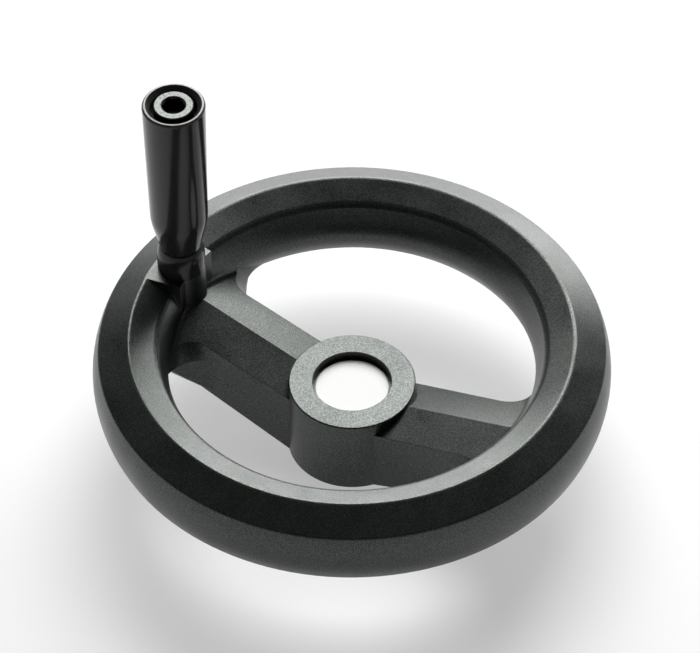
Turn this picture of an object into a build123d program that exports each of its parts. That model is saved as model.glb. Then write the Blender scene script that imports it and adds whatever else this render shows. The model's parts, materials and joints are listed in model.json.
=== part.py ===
from build123d import *
import os
from math import cos, radians, sqrt, tan

# Machine handwheel: a dished two-arm wheel with a turning hand grip on one arm.
# Millimetres. The origin is the centre of the hub's underside, +Z runs up the
# shaft axis, the arms lie along X and the grip stands on the -X arm.

# Rim: a closed, house-shaped section with a sharp ridge and bulged side walls
wheel_diameter = 200.0        # over the outer bulge
rim_width = 29.1              # bulge to bulge
rim_height = 28.4             # underside to ridge
rim_lift = 32.3               # rim underside above the hub underside
ridge_inset = 14.45           # outer bulge in to the ridge
outer_slope_drop = 6.3        # ridge down to the outer crease
inner_slope_drop = 4.5        # ridge down to the inner crease
outer_crease_inset = 2.4      # bulge in to the crease
inner_crease_inset = 3.8
outer_foot_inset = 2.0        # bulge in to the underside's edge
inner_foot_inset = 3.2
bulge_height = 10.6           # widest line of the side walls above the underside
ridge_easing = 0.9            # each corner's easing starts this far from it
outer_crease_easing = 0.5
inner_crease_easing = 1.6
foot_chamfer = 0.8            # on the underside's outer edge

# Hub
hub_diameter = 50.6           # at the underside
hub_height = 34.0
hub_draft = 1.0               # degrees
hub_top_chamfer = 0.4
hub_foot_chamfer = 0.4

# Arms: straight, with a gabled top, a cored underside and drafted flanks
arm_width_hub = 31.3
arm_width_rim = 33.0
arm_step = 0.8                # arm ridge below the hub's top, at the hub wall
arm_below_ridge = 14.6        # arm ridge below the rim's ridge, at the rim wall
gable_drop_hub = 3.3          # arm ridge down to the arm's side edges
gable_drop_rim = 4.0
arm_depth_hub = 30.3          # arm ridge down to the arm's underside
arm_depth_rim = 26.8
arm_draft = 2.0               # degrees, the flanks widen downward
arm_corner_fillet = 6.0       # flank to rim wall, level with the rim's widest line
arm_corner_flare = 16.0       # the same, level with the rim's underside
gable_end_fillet = 3.0        # gable to rim wall
gable_overhang = 24.5         # the gable's slopes run on this far over the flared corners
keel_straight_end = 0.72      # share of the underside from hub to rim that runs straight
keel_reach = 10.0             # underside's end inside the rim's outer foot
flare_reach = 0.66            # share of the rim's inner wall, from its foot, that the flare climbs
flare_sections = 4
corner_bite = 0.1             # the corners run this deep into the flank and the wall
corner_backing = 2.0          # thickness of the corners behind that
root_rise = 1.4               # underside of the corners' roots, height per width

# Coring under each arm: two pockets either side of a middle rib
core_wall = 4.0
core_roof = 5.0               # least thickness left under the gable's sides
core_rib = 3.2
core_hub_gap = 4.5
core_rim_gap = 7.0
core_corner = 2.5

# Moulded-in steel hub bush, with the shaft bore
bush_diameter = 34.0
bush_length = 28.0
bore_diameter = 20.0
bore_chamfer = 1.0
bush_groove_width = 4.0
bush_groove_depth = 1.2

# Cap in the hub's recess
recess_diameter = 30.9
recess_ledge_height = 2.2     # ledge above the bush
cap_diameter = 29.0
cap_thickness = 2.6
cap_edge_chamfer = 0.4

# Handle seat: a flat pad on the rim and a round boss behind it
handle_inset = 23.5           # outer bulge in to the handle's axis
pad_drop = 0.3                # pad below the ridge
pad_half_angle = 9.25         # degrees each way about the shaft axis
boss_diameter = 18.8

# Threaded insert moulded in under the pad
insert_diameter = 14.0
insert_length = 22.0
insert_floor = 2.0
thread_diameter = 8.0
thread_engagement = 18.0
thread_clearance = 0.05

# Collar under the grip
collar_diameter = 18.8
collar_height = 11.1
collar_dome_height = 5.6
collar_top_diameter = 16.2
collar_bore_clearance = 0.2

# Turning grip
grip_length = 74.1
grip_top_diameter = 24.1
grip_waist_diameter = 22.3
grip_foot_diameter = 16.2
grip_taper_height = 14.6      # foot to waist
grip_waist_easing = 3.0
grip_lip_easing = 1.1
grip_foot_chamfer = 0.4
grip_mouth_diameter = 21.6
grip_mouth_depth = 1.9
head_pocket_diameter = 18.0
head_pocket_depth = 6.9

# Spindle: a socket-head shoulder screw that the grip turns on
shoulder_diameter = 10.0
running_clearance = 0.05      # radial, shoulder to grip
end_clearance = 0.3           # grip to collar, and head to grip
head_diameter = 15.3
head_edge_chamfer = 0.4
head_sink = 0.3               # head's top below the grip's top
socket_width = 8.0            # across flats
socket_depth = 5.0
socket_chamfer = 0.25
socket_turn = 30.0            # degrees
stem_chamfer = 1.0

# Derived places
wheel_radius = wheel_diameter / 2
rim_top = rim_lift + rim_height
rim_inner_radius = wheel_radius - rim_width
ridge_radius = wheel_radius - ridge_inset
rim_bulge_z = rim_lift + bulge_height
hub_radius = hub_diameter / 2
cap_seat = bush_length + recess_ledge_height
handle_x = handle_inset - wheel_radius
pad_z = rim_top - pad_drop
collar_top = pad_z + collar_height
grip_foot = collar_top + end_clearance
grip_top = grip_foot + grip_length
head_top = grip_top - head_sink
head_bottom = grip_top - head_pocket_depth + end_clearance
arm_reach = wheel_radius - keel_reach
keel_turn = hub_radius + (rim_inner_radius - hub_radius) * keel_straight_end


def turned(outline, x=0.0):
    """Revolve a closed outline of (radius, height) points about the vertical at x."""
    return Pos(x, 0, 0) * revolve(Plane.YZ * make_face(outline), Axis.Z)


def round_corner(start, corner, end):
    """Arc that leaves start and reaches end along the two sides of their corner."""
    return [TangentArc(start, end, tangent=corner - start)]


def slim_corner(start, corner, end):
    """The same on a large ring, as two shallow curves that make fewer facets than an arc."""
    middle = (start + corner * 2 + end) / 4
    return [Bezier(start, (start + corner) / 2, middle), Bezier(middle, (corner + end) / 2, end)]


def soft_side(start, through, end):
    """Shallow curve from start to end through a point, as joins well with the arms."""
    return Bezier(start, through * 2 - (start + end) / 2, end)


def soft_outline(corners, bulges=None, soften=round_corner):
    """Closed outline through (radius, height, easing) corners, each eased by soften.

    A side listed in bulges, under the number of its first corner, is bowed through the
    point given there by the curve named beside it.
    """
    bulges = bulges or {}
    count = len(corners)
    points = [Vector(radius, height) for radius, height, _ in corners]
    aims = []
    for i in range(count):
        middle = (points[i] + points[(i + 1) % count]) / 2
        aims.append(bulges[i][0] * 2 - middle if i in bulges else middle)
    starts = [points[i] + (aims[i] - points[i]).normalized() * corners[i][2] for i in range(count)]
    ends = [points[i] + (aims[i - 1] - points[i]).normalized() * corners[i][2] for i in range(count)]
    outline = []
    for i in range(count):
        if corners[i][2]:
            outline += soften(ends[i], points[i], starts[i])
        end = ends[(i + 1) % count]
        if i in bulges:
            through, curve = bulges[i]
            outline.append(curve(starts[i], through, end))
        else:
            outline.append(Line(starts[i], end))
    return outline


def rim_outline():
    """Outline of the rim's house-shaped section, with bulged side walls."""
    outer_foot = wheel_radius - outer_foot_inset
    corners = [
        (ridge_radius, rim_top, ridge_easing),
        (wheel_radius - outer_crease_inset, rim_top - outer_slope_drop, outer_crease_easing),
        (outer_foot, rim_lift + foot_chamfer, 0),
        (outer_foot - foot_chamfer, rim_lift, 0),
        (rim_inner_radius + inner_foot_inset, rim_lift, 0),
        (rim_inner_radius + inner_crease_inset, rim_top - inner_slope_drop, inner_crease_easing),
    ]
    bulges = {
        1: (Vector(wheel_radius, rim_bulge_z), ThreePointArc),
        4: (Vector(rim_inner_radius, rim_bulge_z), soft_side),
    }
    return soft_outline(corners, bulges, slim_corner)


def rim():
    return turned(rim_outline())


def rim_wall():
    """Curve of the rim's inner wall, from its foot up to the crease."""
    return min(rim_outline(), key=lambda piece: (piece @ 0.5).X)


def hub():
    slope = tan(radians(hub_draft))
    foot = hub_radius - hub_foot_chamfer
    top = hub_radius - hub_height * slope
    points = [
        (0, 0),
        (foot, 0),
        (hub_radius, hub_foot_chamfer),
        (top, hub_height - hub_top_chamfer),
        (top - hub_top_chamfer, hub_height),
        (0, hub_height),
    ]
    return turned(Polyline(*points, close=True))


def along_arm(x, at_hub, at_rim):
    """Value at a distance x from the shaft axis, from its values at the hub and the rim."""
    return at_hub + (at_rim - at_hub) * (x - hub_radius) / (rim_inner_radius - hub_radius)


def arm_ridge(x):
    return along_arm(x, hub_height - arm_step, rim_top - arm_below_ridge)


def underside(x):
    return arm_ridge(x) - along_arm(x, arm_depth_hub, arm_depth_rim)


def gable_roof():
    """Everything under the gable of one arm, eased up into the rim's inner wall."""
    side = arm_width_rim / 2 + gable_overhang
    faces = []
    for x in (0, arm_reach):
        slope = 2 * along_arm(x, gable_drop_hub / arm_width_hub, gable_drop_rim / arm_width_rim)
        eave = arm_ridge(x) - slope * side
        outline = Polyline((-side, 0), (-side, eave), (0, arm_ridge(x)), (side, eave), (side, 0), close=True)
        faces.append(Plane(origin=(x, 0, 0), x_dir=(0, 1, 0), z_dir=(1, 0, 0)) * make_face(outline))
    joined = rim() + loft(faces, ruled=True)
    gable_ends = []
    for edge in joined.edges():
        middle = edge @ 0.5
        off_wall = abs(Vector(middle.X, middle.Y).length - rim_inner_radius)
        if edge.length > arm_width_rim and edge.center().X > hub_radius and off_wall < gable_end_fillet:
            gable_ends.append(edge)
    return fillet(gable_ends, gable_end_fillet) - rim()


def flank(z):
    """Half of the arm's width at a height, at the shaft axis and at the arm's reach."""
    growth = (rim_top / 2 - z) * tan(radians(arm_draft))
    return arm_width_hub / 2 + growth, arm_width_rim / 2 + growth


def arm_flanks():
    """Drafted strip as wide as one arm, from the shaft axis out to the arm's reach."""
    plans = []
    for z in (0, rim_top):
        near, far = flank(z)
        outline = Polyline((0, -near), (arm_reach, -far), (arm_reach, far), (0, near), close=True)
        plans.append(Pos(0, 0, z) * make_face(outline))
    return loft(plans, ruled=True)


def corner_plan(wall_radius, z):
    """Plan at a height of the rounded corner between the arm's left flank and the rim's wall."""
    radius = arm_corner_flare + (arm_corner_fillet - arm_corner_flare) * (z - rim_lift) / bulge_height
    near, far = flank(z)
    along = Vector(arm_reach, far - near).normalized()
    across = Vector(-along.Y, along.X)
    offset = Vector(0, near).dot(across) + radius - corner_bite
    reach = wall_radius - radius + corner_bite
    centre = across * offset + along * sqrt(reach**2 - offset**2)
    outward = centre.normalized()
    on_flank = centre - across * radius
    on_wall = centre + outward * radius
    inner = on_flank - across * corner_backing
    outer = on_wall + outward * corner_backing
    depth = offset - radius - corner_backing
    heel = across * depth + along * sqrt(outer.length**2 - depth**2)
    arc = ThreePointArc(on_flank, centre + (outward - across).normalized() * radius, on_wall)
    return Pos(0, 0, z) * make_face([arc, Polyline(on_wall, outer, heel, inner, on_flank)])


def rim_corners():
    """Corners between one arm's flanks and the rim's inner wall.

    They flare down to the rim's underside, and their roots slope from there in to the
    arm's underside.
    """
    wall = rim_wall()
    places = [wall @ (flare_reach * i / (flare_sections - 1)) for i in range(flare_sections)]
    plans = [corner_plan(place.X, place.Y) for place in places]
    eave = arm_width_rim / 2
    ridge_foot = underside(keel_turn)
    spread = eave + (rim_lift - ridge_foot) / root_rise
    under_rim = Pos(0, 0, rim_lift) * (Circle(arm_reach) - Circle(places[0].X))
    side = Pos((hub_radius + arm_reach) / 2, spread / 2, rim_lift) * Rectangle(arm_reach - hub_radius, spread)
    root = extrude((plans[0] + under_rim) & side, amount=rim_lift, dir=(0, 0, -1))
    slope = make_face(Polyline((0, rim_lift), (0, ridge_foot), (eave, ridge_foot), (spread, rim_lift), close=True))
    corner = loft(plans) + (root & extrude(Plane.YZ * slope, amount=arm_reach))
    return corner + mirror(corner, Plane.XZ)


def keel():
    """Everything over one arm's underside, which is straight, then curves up to the rim."""
    start = (0, underside(0))
    turn = (keel_turn, underside(keel_turn))
    end = (arm_reach, rim_lift)
    straight = Line(start, turn)
    curve = TangentArc(turn, end, tangent=straight % 1)
    outline = [straight, curve, Polyline(end, (arm_reach, rim_top), (0, rim_top), start)]
    return extrude(Plane.XZ * make_face(outline), amount=2 * arm_width_rim, both=True)


def core_pocket(side):
    """Hollow under one arm, on one side (+1 or -1) of its middle rib."""
    start = hub_radius + core_hub_gap
    end = rim_inner_radius - core_rim_gap
    inner = core_rib / 2
    outer = min(arm_width_hub, arm_width_rim) / 2 - core_wall
    width = outer - inner
    plan = Pos((start + end) / 2, side * (inner + outer) / 2) * RectangleRounded(end - start, width, core_corner)
    roof = [arm_ridge(x) - gable_drop_rim - core_roof for x in (start, end)]
    side_view = make_face(Polyline((start, 0), (start, roof[0]), (end, roof[1]), (end, 0), close=True))
    return extrude(plan, amount=rim_top) & extrude(Plane.XZ * side_view, amount=arm_width_rim, both=True)


def arm():
    """One arm towards +X: drafted flanks under a gable, over a curved and cored keel."""
    solid = (arm_flanks() + rim_corners()) & gable_roof() & keel()
    return solid - core_pocket(1) - core_pocket(-1)


def pad_sector(inner_radius, outer_radius, low, high):
    """Block between two radii and two heights, over the angle of the handle pad."""
    half_width = outer_radius * tan(radians(pad_half_angle))
    wedge = make_face(Polyline((0, 0), (-outer_radius, half_width), (-outer_radius, -half_width), close=True))
    ring = Circle(outer_radius) - Circle(inner_radius)
    return Pos(0, 0, low) * extrude(ring & wedge, amount=high - low)


def handle_boss():
    """Round boss from the arm's gable up to the pad, for the inner side of the collar."""
    foot = arm_ridge(-handle_x) - gable_drop_rim
    return Pos(handle_x, 0, foot) * extrude(Circle(boss_diameter / 2), amount=pad_z - foot)


def hub_recess():
    """Seat of the cap, open at the hub's top, with a ledge round it."""
    seat = Pos(0, 0, bush_length) * extrude(Circle(cap_diameter / 2), amount=recess_ledge_height)
    return seat + Pos(0, 0, cap_seat) * extrude(Circle(recess_diameter / 2), amount=hub_height)


def wheel_body():
    one_arm = arm()
    body = rim() + one_arm + Rot(0, 0, 180) * one_arm + hub()
    body += pad_sector(rim_inner_radius, ridge_radius, rim_bulge_z, pad_z) + handle_boss()
    body -= pad_sector(rim_inner_radius, wheel_radius, pad_z, rim_top)
    return body - hub_recess() - bush_envelope() - insert_envelope()


def bush_envelope():
    """Outside of the hub bush: a round bar with one groove that the moulding locks into."""
    outer = bush_diameter / 2
    groove = outer - bush_groove_depth
    low = (bush_length - bush_groove_width) / 2
    high = low + bush_groove_width
    points = [(0, 0), (outer, 0), (outer, low), (groove, low), (groove, high), (outer, high)]
    return turned(Polyline(*points, (outer, bush_length), (0, bush_length), close=True))


def hub_bush():
    bore = bore_diameter / 2
    mouth = bore + bore_chamfer
    points = [(0, 0), (mouth, 0), (bore, bore_chamfer), (bore, bush_length), (0, bush_length)]
    return bush_envelope() - turned(Polyline(*points, close=True))


def hub_cap():
    cap = Pos(0, 0, bush_length) * extrude(Circle(cap_diameter / 2), amount=cap_thickness)
    return chamfer(cap.edges().group_by(Axis.Z)[-1], cap_edge_chamfer)


def insert_envelope():
    foot = pad_z - insert_length
    return Pos(handle_x, 0, foot) * extrude(Circle(insert_diameter / 2), amount=insert_length)


def handle_insert():
    depth = insert_length - insert_floor
    hole = Circle(thread_diameter / 2 + thread_clearance)
    return insert_envelope() - Pos(handle_x, 0, pad_z - depth) * extrude(hole, amount=depth)


def handle_collar():
    bore = thread_diameter / 2 + collar_bore_clearance
    outer = collar_diameter / 2
    top = collar_top_diameter / 2
    shoulder = (outer, collar_top - collar_dome_height)
    wall = Polyline((top, collar_top), (bore, collar_top), (bore, pad_z), (outer, pad_z), shoulder)
    dome = TangentArc(shoulder, (top, collar_top), tangent=(0, 1))
    return turned([wall, dome], handle_x)


def handle_grip():
    bore = shoulder_diameter / 2 + running_clearance
    foot = grip_foot_diameter / 2
    pocket_radius = head_pocket_diameter / 2
    pocket_floor = grip_top - head_pocket_depth
    corners = [
        (bore, grip_foot, 0),
        (foot - grip_foot_chamfer, grip_foot, 0),
        (foot, grip_foot + grip_foot_chamfer, 0),
        (grip_waist_diameter / 2, grip_foot + grip_taper_height, grip_waist_easing),
        (grip_top_diameter / 2, grip_top, grip_lip_easing),
        (grip_mouth_diameter / 2, grip_top, 0),
        (pocket_radius, grip_top - grip_mouth_depth, 0),
        (pocket_radius, pocket_floor, 0),
        (bore, pocket_floor, 0),
    ]
    return turned(soft_outline(corners), handle_x)


def handle_spindle():
    head = head_diameter / 2
    shoulder = shoulder_diameter / 2
    stem = thread_diameter / 2
    tip = pad_z - thread_engagement
    points = [
        (0, tip),
        (stem - stem_chamfer, tip),
        (stem, tip + stem_chamfer),
        (stem, collar_top),
        (shoulder, collar_top),
        (shoulder, head_bottom),
        (head, head_bottom),
        (head, head_top - head_edge_chamfer),
        (head - head_edge_chamfer, head_top),
        (0, head_top),
    ]
    socket = Rot(0, 0, socket_turn) * RegularPolygon(socket_width / 2, 6, major_radius=False)
    socket_hole = Pos(handle_x, 0, head_top - socket_depth) * extrude(socket, amount=socket_depth)
    rim_radius = socket_width / 2 / cos(radians(30)) + socket_chamfer
    cone = Polyline((0, head_top - rim_radius), (rim_radius, head_top), (0, head_top), close=True)
    lead_in = turned(cone, handle_x)
    return turned(Polyline(*points, close=True), handle_x) - socket_hole - lead_in


def main():
    makers = (
        wheel_body,
        hub_bush,
        hub_cap,
        handle_insert,
        handle_collar,
        handle_spindle,
        handle_grip,
    )
    os.makedirs("parts", exist_ok=True)
    for make in makers:
        export_step(make(), f"parts/{make.__name__}.step")


if __name__ == "__main__":
    main()
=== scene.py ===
"""Machine handwheel: surface finishes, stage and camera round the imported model."""

import json
from math import cos, radians, sin, tau
from typing import NamedTuple

import bmesh
import bpy
from mathutils import Euler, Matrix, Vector


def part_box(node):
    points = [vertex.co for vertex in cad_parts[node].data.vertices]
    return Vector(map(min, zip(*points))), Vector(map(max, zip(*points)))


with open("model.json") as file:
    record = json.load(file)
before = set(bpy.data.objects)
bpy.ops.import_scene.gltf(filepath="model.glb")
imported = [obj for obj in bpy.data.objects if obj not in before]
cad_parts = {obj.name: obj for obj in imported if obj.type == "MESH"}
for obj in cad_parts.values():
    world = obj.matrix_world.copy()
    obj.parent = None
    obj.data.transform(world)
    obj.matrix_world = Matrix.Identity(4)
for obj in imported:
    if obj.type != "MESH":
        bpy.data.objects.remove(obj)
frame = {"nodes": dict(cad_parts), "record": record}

bl_info = {
    "name": "Machine Handwheel",
    "version": (1, 0, 0),
    "blender": (4, 5, 0),
    "location": "View3D > Sidebar > Handwheel",
    "description": "Finishes a gabled-arm machine handwheel and sets its studio stage",
    "category": "Object",
}

MM = 0.001  # one millimetre in Blender's metres

NODES = frame["nodes"]
SLOT_COLOURS = {m["slot"]: m["base_color"][:3] for m in frame["record"]["materials"]}
SPINDLE_LOW, SPINDLE_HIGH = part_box("handle_spindle")
HANDLE_AXIS = (SPINDLE_LOW + SPINDLE_HIGH) / 2
HANDLE_AXIS.z = 0.0
HUB_AXIS = Vector((0.0, 0.0, 0.0))

# Ranges of a noise's values, which lie between 0 and 1.
BULK = (0.3, 0.7)          # most of them
UPPER_BULK = (0.35, 0.75)  # most of them, and the low ones count as one
PEAKS = (0.42, 0.74)       # the high ones, and all the others count as one


# ---------------------------------------------------------------- properties


def colour(name, description, default):
    """A colour that a user can change."""
    return bpy.props.FloatVectorProperty(
        name=name, description=description, default=default,
        subtype="COLOR", size=3, min=0.0, max=1.0,
    )


def length(name, description, default_mm):
    """A length that a user can change; its default is given in millimetres."""
    return bpy.props.FloatProperty(
        name=name, description=description, default=default_mm * MM,
        min=0.0, subtype="DISTANCE", unit="LENGTH",
    )


def factor(name, description, default):
    """A share from 0 to 1."""
    return bpy.props.FloatProperty(
        name=name, description=description, default=default,
        min=0.0, max=1.0, subtype="FACTOR",
    )


def power(name, description, default):
    """A lamp's power in watts."""
    return bpy.props.FloatProperty(
        name=name, description=description, default=default, min=0.0, unit="POWER",
    )


class HandwheelFinishes(bpy.types.PropertyGroup):
    """Colours and grain of the wheel's materials."""

    body_colour: colour(
        "Body", "Colour of the moulded wheel body", (0.0070, 0.0092, 0.0075),
    )
    body_sheen: colour("Body sheen", "Tint of the wheel body's sheen", (0.93, 1.0, 0.95))
    body_roughness: factor("Body roughness", "How matt the moulded body is", 0.32)
    body_grain: length("Body grain", "Size of the eroded mould grain", 0.45)
    body_grain_depth: length("Body grain depth", "Height of the mould grain", 0.015)
    body_grain_contrast: factor(
        "Body grain contrast", "How much the grain's peaks brighten the sheen", 0.5,
    )
    body_edge_radius: length("Body edge radius", "Softness of the moulded edges", 0.35)
    grip_colour: colour(
        "Grip", "Colour of the glossy grip and collar", SLOT_COLOURS["grip_plastic"],
    )
    # Pale painted highlight on the crest of the grip's mouth.
    lip_highlight_colour: colour(
        "Rubbed edge", "Colour of the grip's rubbed mouth edge", (0.42, 0.42, 0.40),
    )
    grip_roughness: factor("Grip roughness", "How dull the polished grip is", 0.12)
    mouth_roughness: factor("Mouth roughness", "How dull the grip's upward faces are", 0.34)
    cap_colour: colour("Cap", "Colour of the hub's cover cap", (0.92, 0.92, 0.905))
    cap_roughness: factor("Cap roughness", "How matt the cover cap is", 0.42)
    steel_colour: colour("Steel", "Colour of the handle's screw", (0.098, 0.104, 0.098))
    # Painted shade for the screw's socket and the faces below its head.
    socket_shade_colour: colour(
        "Socket", "Colour of the oily steel in the screw's socket", (0.012, 0.012, 0.012),
    )
    bush_colour: colour(
        "Bush", "Colour of the blackened steel bush", SLOT_COLOURS["blackened_steel"],
    )
    brass_colour: colour(
        "Brass", "Colour of the threaded insert", SLOT_COLOURS["insert_brass"],
    )
    turning_pitch: length(
        "Turning pitch", "Pitch of the lathe marks on the bush and the insert", 0.754,
    )


class HandwheelStage(bpy.types.PropertyGroup):
    """The floor, the lamps, the world and the camera."""

    floor_radius: length("Floor radius", "Radius of the round floor", 30000.0)
    floor_colour: colour("Floor", "Colour of the plain floor", (0.96, 0.96, 0.96))
    floor_glow: factor(
        "Floor glow", "Share of the floor that is the background's own white", 0.42,
    )
    world_colour: colour("World", "Colour of the plain surroundings", (1.0, 1.0, 1.0))
    horizon: factor("Horizon", "Strength of the pale band round the horizon", 1.0)
    ambient: factor("Ambient", "Strength of the light from all round", 0.05)
    key_power: power("Key power", "Power of the large back softbox", 71.0)
    core_power: power("Core power", "Power of the key's brighter middle", 23.0)
    low_power: power("Low power", "Power of the low panel behind", 28.0)
    camera_place: bpy.props.FloatVectorProperty(
        name="Camera place", description="Where the camera stands",
        default=(0.52669, -0.90442, 1.17894), subtype="TRANSLATION", unit="LENGTH",
    )
    camera_turn: bpy.props.FloatVectorProperty(
        name="Camera turn", description="How the camera is turned",
        default=(radians(43.2115), radians(0.2825), radians(29.9487)),
        subtype="EULER", unit="ROTATION",
    )
    camera_lens: bpy.props.FloatProperty(
        name="Lens", description="Focal length on a 36 mm wide sensor",
        default=205.714, min=1.0, unit="CAMERA",
    )


# ----------------------------------------------------------------- materials


WAVE_RADIANS = 20.0      # what a wave texture turns through in one unit at scale 1
BUSH_ROUGHNESS = 0.34
BRASS_ROUGHNESS = 0.32
LIP_HIGHLIGHT_BAND = 0.10 * MM  # height of the pale painted highlight round the grip's mouth

SOCKETS = {
    "base_color": "Base Color",
    "metallic": "Metallic",
    "roughness": "Roughness",
    "ior": "IOR",
    "normal": "Normal",
    "specular": "Specular IOR Level",
    "gloss_tint": "Specular Tint",
}


def fill(node, numbers):
    """Writes constants into a node's inputs."""
    for key, number in numbers.items():
        node.inputs[key].default_value = number


class Finish:
    """A material's node tree, built from left to right."""

    def __init__(self, name):
        self.material = bpy.data.materials.new(name)
        self.material.use_nodes = True
        self.tree = self.material.node_tree
        self.tree.nodes.clear()
        self.shader = self.node("ShaderNodeBsdfPrincipled")
        self.out = self.node("ShaderNodeOutputMaterial")
        self.link(self.shader.outputs["BSDF"], self.out.inputs["Surface"])
        self.coords = self.node("ShaderNodeTexCoord").outputs["Object"]

    def node(self, kind, **settings):
        """A new node with some of its settings changed."""
        made = self.tree.nodes.new(kind)
        for key, value in settings.items():
            setattr(made, key, value)
        return made

    def link(self, source, target):
        """Joins an output to an input."""
        self.tree.links.new(source, target)

    def set(self, **values):
        """Sets the shader's own sockets, such as ior or gloss_tint."""
        for key, value in values.items():
            socket = self.shader.inputs[SOCKETS[key]]
            socket.default_value = (*value, 1.0) if socket.type == "RGBA" else value

    def feed(self, socket, source):
        """Drives one of the shader's sockets by a pattern."""
        self.link(source, self.shader.inputs[SOCKETS[socket]])

    def placed(self, centre=HUB_AXIS, scale=(1.0, 1.0, 1.0)):
        """Object coordinates centred on a point and scaled."""
        made = self.node("ShaderNodeMapping", vector_type="POINT")
        fill(made, {"Location": [-c * s for c, s in zip(centre, scale)], "Scale": scale})
        self.link(self.coords, made.inputs["Vector"])
        return made.outputs["Vector"]

    def upward_part(self, vector):
        """A vector's Z."""
        split = self.node("ShaderNodeSeparateXYZ")
        self.link(vector, split.inputs[0])
        return split.outputs["Z"]

    def height(self):
        """How high a point lies on the piece."""
        return self.upward_part(self.placed())

    def face(self):
        """The direction a surface faces, its edges left sharp."""
        return self.node("ShaderNodeNewGeometry").outputs["Normal"]

    def facing_up(self):
        """How far a surface faces the sky, from -1 to 1, with the wheel lying flat."""
        return self.upward_part(self.face())

    def noise(self, feature, detail=2.0, centre=HUB_AXIS, scale=(1.0, 1.0, 1.0)):
        """A cloud whose blotches are about one feature across, longer where scale is small."""
        made = self.node("ShaderNodeTexNoise")
        fill(made, {"Scale": 1.0 / feature, "Detail": detail})
        self.link(self.placed(centre, scale), made.inputs["Vector"])
        return made.outputs["Fac"]

    def between(self, value, low, high, within=(0.0, 1.0)):
        """Maps the part of a value that lies within a range onto low to high."""
        made = self.node("ShaderNodeMapRange", clamp=True)
        fill(made, {
            "From Min": within[0], "From Max": within[1], "To Min": low, "To Max": high,
        })
        self.link(value, made.inputs["Value"])
        return made.outputs["Result"]

    def combine(self, first, second, operation="ADD"):
        """Two values put together by a piece of arithmetic; the second may be a number."""
        made = self.node("ShaderNodeMath", operation=operation)
        self.link(first, made.inputs[0])
        if isinstance(second, (int, float)):
            made.inputs[1].default_value = second
        else:
            self.link(second, made.inputs[1])
        return made.outputs["Value"]

    def tint(self, value, dark, light):
        """Goes from dark to light, each a colour or a socket, as the value goes from 0 to 1."""
        made = self.node("ShaderNodeMix", data_type="RGBA")
        self.link(value, made.inputs["Factor"])
        ends = {s.name: s for s in made.inputs if s.type == "RGBA"}
        for name, end in (("A", dark), ("B", light)):
            if isinstance(end, bpy.types.NodeSocket):
                self.link(end, ends[name])
            else:
                ends[name].default_value = (*end, 1.0)
        return next(s for s in made.outputs if s.type == "RGBA")

    def soft_edges(self, radius):
        """The surface's normal with its edges rounded, and where those edges are."""
        bevel_samples, edge_starts = 6, 0.9
        rounded = self.node("ShaderNodeBevel", samples=bevel_samples)
        fill(rounded, {"Radius": radius})
        dot = self.node("ShaderNodeVectorMath", operation="DOT_PRODUCT")
        self.link(rounded.outputs["Normal"], dot.inputs[0])
        self.link(self.face(), dot.inputs[1])
        edge = self.between(dot.outputs["Value"], 1.0, 0.0, within=(edge_starts, 1.0))
        return rounded.outputs["Normal"], edge

    def bump(self, height, depth, normal, strength=1.0):
        """A normal ruffled by a pattern of a given depth."""
        made = self.node("ShaderNodeBump")
        fill(made, {"Strength": strength, "Distance": depth})
        self.link(height, made.inputs["Height"])
        self.link(normal, made.inputs["Normal"])
        return made.outputs["Normal"]


def scaled(rgb, share):
    """A colour made darker or lighter."""
    return tuple(min(1.0, c * share) for c in rgb)


def moulded_plastic(p):
    """Fine-grained matt black thermoset of the wheel body."""
    flow_size, flow_scale = 14 * MM, (1.0, 1.0, 0.6)  # its blotches stand upright
    deep_tone, worn_tone = 0.85, 1.35
    flow_wear, edge_wear = 0.55, 0.45
    flow_dulling, pit_polish, peak_dulling, edge_polish = 0.04, 0.01, 0.08, 0.08
    even_level = 0.5     # the specular level of the IOR alone
    pit_dimming = 1 / 3  # how much the pits dim the sheen for what the peaks brighten it
    f = Finish("eroded black plastic")
    f.set(ior=1.60, gloss_tint=p.body_sheen)
    normal, edge = f.soft_edges(p.body_edge_radius)
    grain = f.noise(p.body_grain, detail=3.0)
    flow = f.noise(flow_size, detail=3.0, scale=flow_scale)
    shade = f.combine(f.between(flow, 0.0, flow_wear, BULK), f.between(edge, 0.0, edge_wear))
    deep, worn = scaled(p.body_colour, deep_tone), scaled(p.body_colour, worn_tone)
    f.feed("base_color", f.tint(shade, deep, worn))
    rough = f.combine(
        f.between(flow, -flow_dulling, flow_dulling, BULK),
        f.between(grain, p.body_roughness - pit_polish, p.body_roughness + peak_dulling, PEAKS),
    )
    rough = f.combine(rough, f.between(edge, 0.0, edge_polish), "SUBTRACT")
    f.feed("roughness", rough)
    pit_level = even_level - p.body_grain_contrast * pit_dimming
    peak_level = even_level + p.body_grain_contrast
    f.feed("specular", f.between(grain, pit_level, peak_level, PEAKS))
    f.feed("normal", f.bump(grain, p.body_grain_depth, normal))
    return f.material


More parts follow.
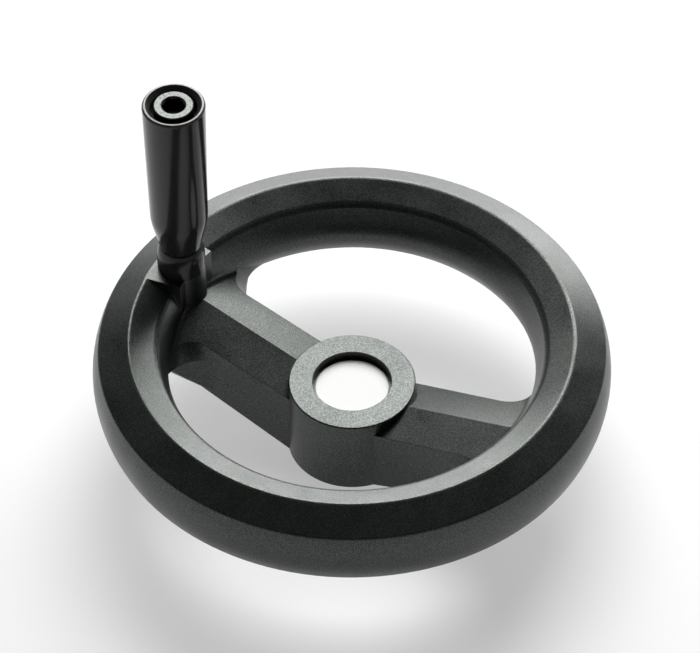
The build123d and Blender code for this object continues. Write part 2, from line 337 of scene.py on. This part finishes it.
def polished_plastic(p, lip_highlight_above=None):
    """Glossy black thermoset of the grip and its collar, with a pale painted highlight above a
    height.
    """
    edge_radius, edge_dulling = 0.2 * MM, 0.05
    peel_size, peel_scale, peel_depth = 5 * MM, (1.0, 1.0, 0.4), 0.02 * MM
    haze_size, haze_scale, haze_dulling = 9 * MM, (1.0, 1.0, 0.3), 0.05
    deep_tone, hazy_tone = 0.8, 1.25
    fade_below, fade_above = 0.04 * MM, 0.02 * MM
    upward = (0.2, 0.35)
    f = Finish("polished black plastic")
    f.set(ior=1.42, specular=0.36)
    normal, edge = f.soft_edges(edge_radius)
    peel = f.noise(peel_size, centre=HANDLE_AXIS, scale=peel_scale)
    haze = f.noise(haze_size, detail=4.0, centre=HANDLE_AXIS, scale=haze_scale)
    base = f.tint(haze, scaled(p.grip_colour, deep_tone), scaled(p.grip_colour, hazy_tone))
    # Paints a pale highlight ring on the grip's mouth above the given height.
    if lip_highlight_above is not None:
        fade = (lip_highlight_above - fade_below, lip_highlight_above + fade_above)
        base = f.tint(f.between(f.height(), 0.0, 1.0, fade), base, p.lip_highlight_colour)
    f.feed("base_color", base)
    rough = f.between(haze, p.grip_roughness, p.grip_roughness + haze_dulling, UPPER_BULK)
    turned_up = f.between(f.facing_up(), 0.0, p.mouth_roughness, upward)
    rough = f.combine(rough, turned_up, "MAXIMUM")
    f.feed("roughness", f.combine(rough, f.between(edge, 0.0, edge_dulling)))
    f.feed("normal", f.bump(peel, peel_depth, normal))
    return f.material


def cap_plastic(p):
    """Plain white plastic of the cover cap."""
    edge_radius = 0.25 * MM
    cloud_size, cloud_dulling = 6 * MM, 0.05
    grain_size, grain_depth = 0.5 * MM, 0.004 * MM
    dull_tone, bright_tone = 0.985, 1.01
    f = Finish("white cap plastic")
    f.set(specular=0.2)
    normal, _ = f.soft_edges(edge_radius)
    cloud = f.noise(cloud_size, detail=3.0)
    grain = f.noise(grain_size)
    dull, bright = scaled(p.cap_colour, dull_tone), scaled(p.cap_colour, bright_tone)
    f.feed("base_color", f.tint(cloud, dull, bright))
    smooth, matt = p.cap_roughness - cloud_dulling, p.cap_roughness + cloud_dulling
    f.feed("roughness", f.between(cloud, smooth, matt, BULK))
    f.feed("normal", f.bump(grain, grain_depth, normal))
    return f.material


def turned_metal(p, name, tone, roughness, axis):
    """Metal with lathe marks round an axis."""
    edge_radius, edge_shine = 0.15 * MM, 0.06
    stain_size, stain_dulling = 3 * MM, 0.06
    dark_tone, bright_tone = 0.88, 1.06
    ring_wobble, ring_dulling, ring_depth, ring_strength = 0.4, 0.03, 0.003 * MM, 0.5
    f = Finish(name)
    f.set(metallic=1.0)
    normal, edge = f.soft_edges(edge_radius)
    wave = f.node(
        "ShaderNodeTexWave", wave_type="RINGS", rings_direction="Z", wave_profile="SIN",
    )
    fill(wave, {
        "Scale": tau / (p.turning_pitch * WAVE_RADIANS), "Distortion": ring_wobble,
    })
    f.link(f.placed(axis), wave.inputs["Vector"])
    rings = wave.outputs["Fac"]
    stain = f.noise(stain_size, detail=4.0, centre=axis)
    f.feed("base_color", f.tint(stain, scaled(tone, dark_tone), scaled(tone, bright_tone)))
    rough = f.combine(
        f.between(stain, roughness - stain_dulling, roughness + stain_dulling, BULK),
        f.between(rings, -ring_dulling, ring_dulling),
    )
    rough = f.combine(rough, f.between(edge, 0.0, edge_shine), "SUBTRACT")
    f.feed("roughness", rough)
    f.feed("normal", f.bump(rings, ring_depth, normal, ring_strength))
    return f.material


def screw_steel(p):
    """Burnished steel of the socket screw, pitted on top, with painted shade in the socket and
    on all faces below the head's top.
    """
    edge_radius = 0.12 * MM
    pit_size, pit_depth, pitted = 0.55 * MM, 0.02 * MM, (0.30, 0.42)
    stain_size, stained_tone = 1.6 * MM, 0.75
    smooth, dull = 0.30, 0.42
    upward = (0.25, 0.6)
    lit_top_band = (SPINDLE_HIGH.z - 1.1 * MM, SPINDLE_HIGH.z - 0.9 * MM)
    f = Finish("burnished steel")
    f.set(metallic=1.0)
    normal, _ = f.soft_edges(edge_radius)
    pits = f.noise(pit_size, detail=1.0, centre=HANDLE_AXIS)
    stain = f.noise(stain_size, detail=3.0, centre=HANDLE_AXIS)
    fresh = f.combine(
        f.between(pits, 0.0, 1.0, pitted),
        f.between(stain, stained_tone, 1.0, BULK),
        "MULTIPLY",
    )
    # Painted light: only upward faces at the head's top keep the steel colour; the socket and
    # all faces below get the painted shade colour.
    top = f.combine(
        f.between(f.facing_up(), 0.0, 1.0, upward),
        f.between(f.height(), 0.0, 1.0, lit_top_band),
        "MULTIPLY",
    )
    shade = f.combine(fresh, top, "MULTIPLY")
    f.feed("base_color", f.tint(shade, p.socket_shade_colour, p.steel_colour))
    f.feed("roughness", f.between(stain, smooth, dull, BULK))
    f.feed("normal", f.bump(pits, pit_depth, normal))
    return f.material


def floor_paint(p):
    """Plain pale floor with no sheen, part of it a background white of its own."""
    cloud_size, cloud_tone = 400 * MM, 0.995
    f = Finish("pale floor")
    f.set(specular=0.0, roughness=0.9)
    cloud = f.noise(cloud_size)
    f.feed("base_color", f.tint(cloud, scaled(p.floor_colour, cloud_tone), p.floor_colour))
    glow = f.node("ShaderNodeEmission")
    fill(glow, {"Color": (*p.world_colour, 1.0)})
    share = f.combine(seen_ray(f), p.floor_glow, "MULTIPLY")
    mix = f.node("ShaderNodeMixShader")
    f.link(share, mix.inputs["Fac"])
    f.link(f.shader.outputs["BSDF"], mix.inputs[1])
    f.link(glow.outputs["Emission"], mix.inputs[2])
    f.link(mix.outputs["Shader"], f.out.inputs["Surface"])
    return f.material


def seen_ray(f):
    """One for rays that show the background: camera, glossy and transmission rays."""
    path = f.node("ShaderNodeLightPath").outputs
    seen = f.combine(path["Is Camera Ray"], path["Is Glossy Ray"], "MAXIMUM")
    return f.combine(seen, path["Is Transmission Ray"], "MAXIMUM")


def dress(node, material):
    """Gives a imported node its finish."""
    for slot in NODES[node].material_slots:
        slot.material = material


# --------------------------------------------------------------------- stage


STAGE_CENTRE = Vector((0.0, 0.0, 50 * MM))  # what the lamps face
HORIZON_FADE = (4.0, 12.0)   # degrees over which the pale horizon fades upward
FLOOR_SEGMENTS = 96
SENSOR_WIDTH = 36.0          # millimetres
CLIP_NEAR, CLIP_FAR = 0.01, 100.0  # metres from the camera


class Softbox(NamedTuple):
    """A rectangular lamp, placed round the wheel."""

    name: str
    azimuth: float    # degrees, from the front towards the right
    elevation: float  # degrees
    distance: float   # metres, as are width and height
    width: float
    height: float


KEY = Softbox("key softbox", 203.5, 45.5, 2.5, 2.25, 1.86)
KEY_CORE = Softbox("key core", 204.0, 43.0, 2.4, 1.6, 1.35)
LOW_PANEL = Softbox("low panel", 202.0, 9.0, 2.0, 2.1, 0.80)


def from_above(azimuth, elevation, distance, target):
    """A place seen from the target at a compass angle and a height angle."""
    a, e = radians(azimuth), radians(elevation)
    return target + Vector((sin(a) * cos(e), -cos(a) * cos(e), sin(e))) * distance


def hang(box, watts):
    """Hangs a softbox that faces the wheel and isn't seen by the camera."""
    data = bpy.data.lights.new(box.name, "AREA")
    data.shape = "RECTANGLE"
    data.size, data.size_y = box.width, box.height
    data.energy = watts
    lamp = bpy.data.objects.new(box.name, data)
    bpy.context.scene.collection.objects.link(lamp)
    lamp.location = from_above(box.azimuth, box.elevation, box.distance, STAGE_CENTRE)
    aim = STAGE_CENTRE - lamp.location
    lamp.rotation_euler = aim.to_track_quat("-Z", "Y").to_euler()
    lamp.visible_camera = False


def build_floor(p):
    """A round floor, large enough to fill every view."""
    mesh = bpy.data.meshes.new("floor")
    bm = bmesh.new()
    bmesh.ops.create_circle(
        bm, cap_ends=True, segments=FLOOR_SEGMENTS, radius=p.floor_radius,
    )
    bm.to_mesh(mesh)
    bm.free()
    floor = bpy.data.objects.new("floor", mesh)
    bpy.context.scene.collection.objects.link(floor)
    mesh.materials.append(floor_paint(p))


def build_world(p):
    """Dim all round, with a white band at the horizon."""
    world = bpy.data.worlds.new("surroundings")
    bpy.context.scene.world = world
    world.use_nodes = True
    tree = world.node_tree
    back = tree.nodes["Background"]
    fill(back, {"Color": (*p.world_colour, 1.0)})
    place = tree.nodes.new("ShaderNodeTexCoord")
    split = tree.nodes.new("ShaderNodeSeparateXYZ")
    tree.links.new(place.outputs["Generated"], split.inputs[0])
    strength = tree.nodes.new("ShaderNodeMapRange")
    strength.interpolation_type = "SMOOTHSTEP"
    low, high = (sin(radians(degrees)) for degrees in HORIZON_FADE)
    fill(strength, {
        "From Min": low, "From Max": high, "To Min": p.horizon, "To Max": p.ambient,
    })
    tree.links.new(split.outputs["Z"], strength.inputs["Value"])
    tree.links.new(strength.outputs[0], back.inputs["Strength"])


def build_camera(p):
    """The camera, three-quarters from above."""
    data = bpy.data.cameras.new("camera")
    data.lens = p.camera_lens
    data.sensor_width = SENSOR_WIDTH
    data.clip_start, data.clip_end = CLIP_NEAR, CLIP_FAR
    camera = bpy.data.objects.new("camera", data)
    bpy.context.scene.collection.objects.link(camera)
    camera.location = p.camera_place
    camera.rotation_euler = Euler(p.camera_turn, "XYZ")
    bpy.context.scene.camera = camera


# ----------------------------------------------------------------- operators


class HANDWHEEL_OT_body(bpy.types.Operator):
    """Give the wheel body its grained black plastic"""

    bl_idname = "handwheel.body"
    bl_label = "Wheel Body"

    def execute(self, context):
        dress("wheel_body", moulded_plastic(context.scene.handwheel_finishes))
        return {"FINISHED"}


class HANDWHEEL_OT_hub(bpy.types.Operator):
    """Finish the steel bush and the white cover cap in the hub"""

    bl_idname = "handwheel.hub"
    bl_label = "Hub Bush and Cap"

    def execute(self, context):
        p = context.scene.handwheel_finishes
        dress("hub_cap", cap_plastic(p))
        steel = turned_metal(p, "blackened steel", p.bush_colour, BUSH_ROUGHNESS, HUB_AXIS)
        dress("hub_bush", steel)
        return {"FINISHED"}


class HANDWHEEL_OT_handle(bpy.types.Operator):
    """Finish the insert, the collar and the screw that carry the grip"""

    bl_idname = "handwheel.handle"
    bl_label = "Handle Fittings"

    def execute(self, context):
        p = context.scene.handwheel_finishes
        dress("handle_collar", polished_plastic(p))
        dress("handle_spindle", screw_steel(p))
        brass = turned_metal(p, "brass", p.brass_colour, BRASS_ROUGHNESS, HANDLE_AXIS)
        dress("handle_insert", brass)
        return {"FINISHED"}


class HANDWHEEL_OT_grip(bpy.types.Operator):
    """Give the turning grip its polished black plastic"""

    bl_idname = "handwheel.grip"
    bl_label = "Turning Grip"

    def execute(self, context):
        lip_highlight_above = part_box("handle_grip")[1].z - LIP_HIGHLIGHT_BAND
        p = context.scene.handwheel_finishes
        dress("handle_grip", polished_plastic(p, lip_highlight_above))
        return {"FINISHED"}


class HANDWHEEL_OT_stage(bpy.types.Operator):
    """Set the floor, the softboxes, the surroundings and the camera"""

    bl_idname = "handwheel.stage"
    bl_label = "Studio Stage"

    def execute(self, context):
        p = context.scene.handwheel_stage
        build_floor(p)
        build_world(p)
        hang(KEY, p.key_power)
        hang(KEY_CORE, p.core_power)
        hang(LOW_PANEL, p.low_power)
        build_camera(p)
        context.scene.view_settings.view_transform = "Standard"
        return {"FINISHED"}


STEPS = (
    HANDWHEEL_OT_body,
    HANDWHEEL_OT_hub,
    HANDWHEEL_OT_handle,
    HANDWHEEL_OT_grip,
    HANDWHEEL_OT_stage,
)


class HANDWHEEL_PT_sidebar(bpy.types.Panel):
    """Lists the handwheel's colours, sizes and building steps"""

    bl_idname = "HANDWHEEL_PT_sidebar"
    bl_label = "Machine Handwheel"
    bl_space_type = "VIEW_3D"
    bl_region_type = "UI"
    bl_category = "Handwheel"

    def draw(self, context):
        layout = self.layout
        for group in (context.scene.handwheel_finishes, context.scene.handwheel_stage):
            column = layout.column(align=True)
            for name in group.__annotations__:
                column.prop(group, name)
        for step in STEPS:
            layout.operator(step.bl_idname)


CLASSES = (HandwheelFinishes, HandwheelStage, *STEPS, HANDWHEEL_PT_sidebar)


def register():
    """Registers the classes and hangs the two groups on the scene."""
    for made in CLASSES:
        bpy.utils.register_class(made)
    scene = bpy.types.Scene
    scene.handwheel_finishes = bpy.props.PointerProperty(type=HandwheelFinishes)
    scene.handwheel_stage = bpy.props.PointerProperty(type=HandwheelStage)


def unregister():
    """Takes away what register added."""
    del bpy.types.Scene.handwheel_stage
    del bpy.types.Scene.handwheel_finishes
    for made in reversed(CLASSES):
        bpy.utils.unregister_class(made)


def main():
    """Builds everything in order."""
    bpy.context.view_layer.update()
    register()
    for step in STEPS:
        group, name = step.bl_idname.split(".")
        getattr(getattr(bpy.ops, group), name)()


if __name__ == "__main__":
    main()
